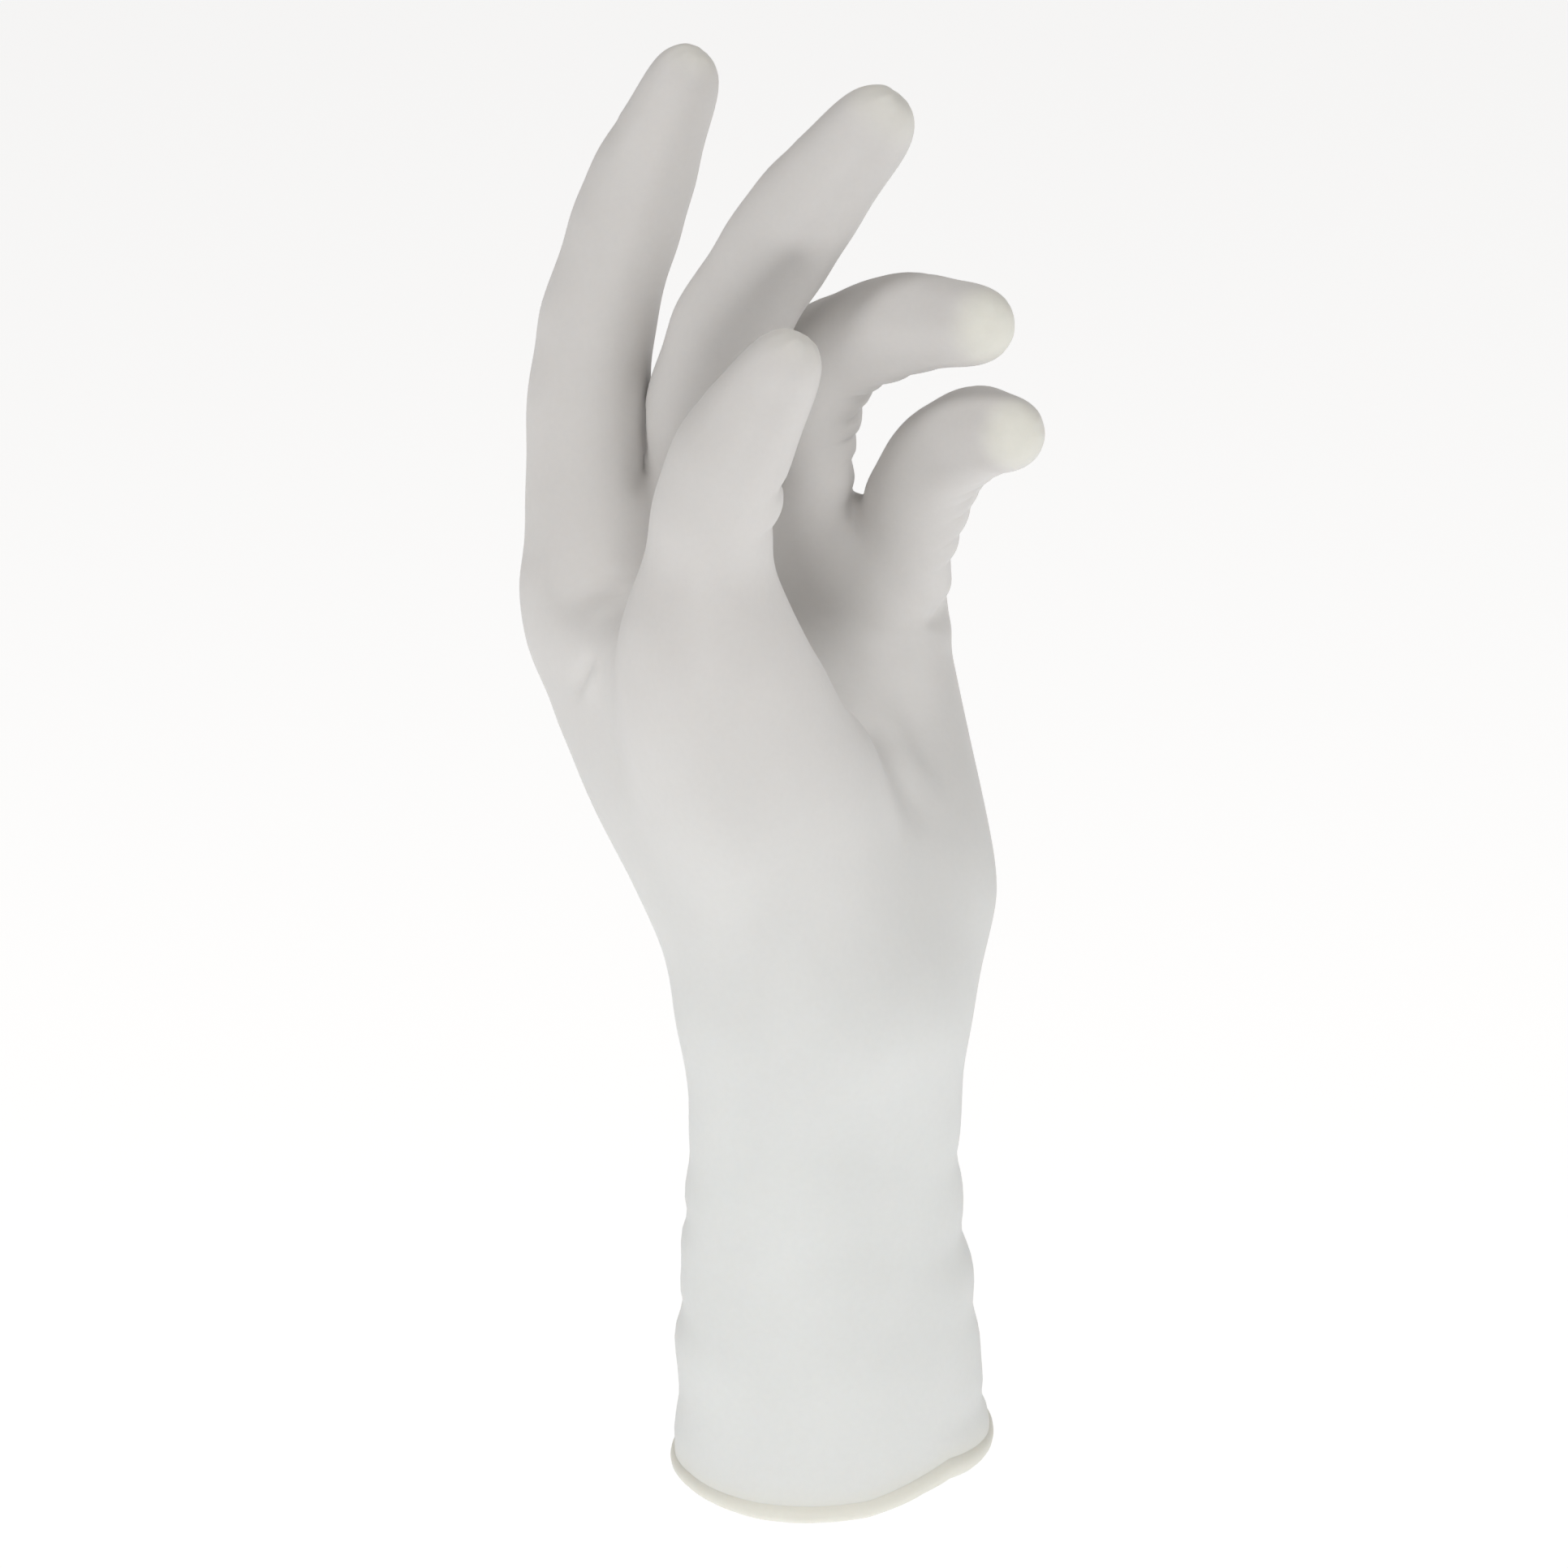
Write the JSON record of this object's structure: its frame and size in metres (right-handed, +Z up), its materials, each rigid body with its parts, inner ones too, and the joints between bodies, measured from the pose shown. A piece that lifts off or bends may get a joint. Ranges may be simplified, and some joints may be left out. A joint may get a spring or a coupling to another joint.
{
  "type": "surgical glove",
  "caption": "Hollow surgical glove of thin white latex in the form it keeps on a left hand, with part-bent fingers, a straight cuff and a rolled edge at the open mouth.",
  "frame": {"origin": "centre of the cuff's open mouth, level with the middle of the rolled edge, where the hand goes in", "axes": "+Z up the cuff towards the fingers; +X towards the picture's right; +Y away from the picture's viewer"},
  "size_m": [0.0905, 0.0877, 0.2474],
  "materials": {
    "latex": "satin white latex",
    "rolled_edge": "satin latex, slightly yellow where it is thick"
  },
  "bodies": {
    "root": {"glove_film": "latex", "cuff_bead": "rolled_edge"}
  },
  "joints": []
}
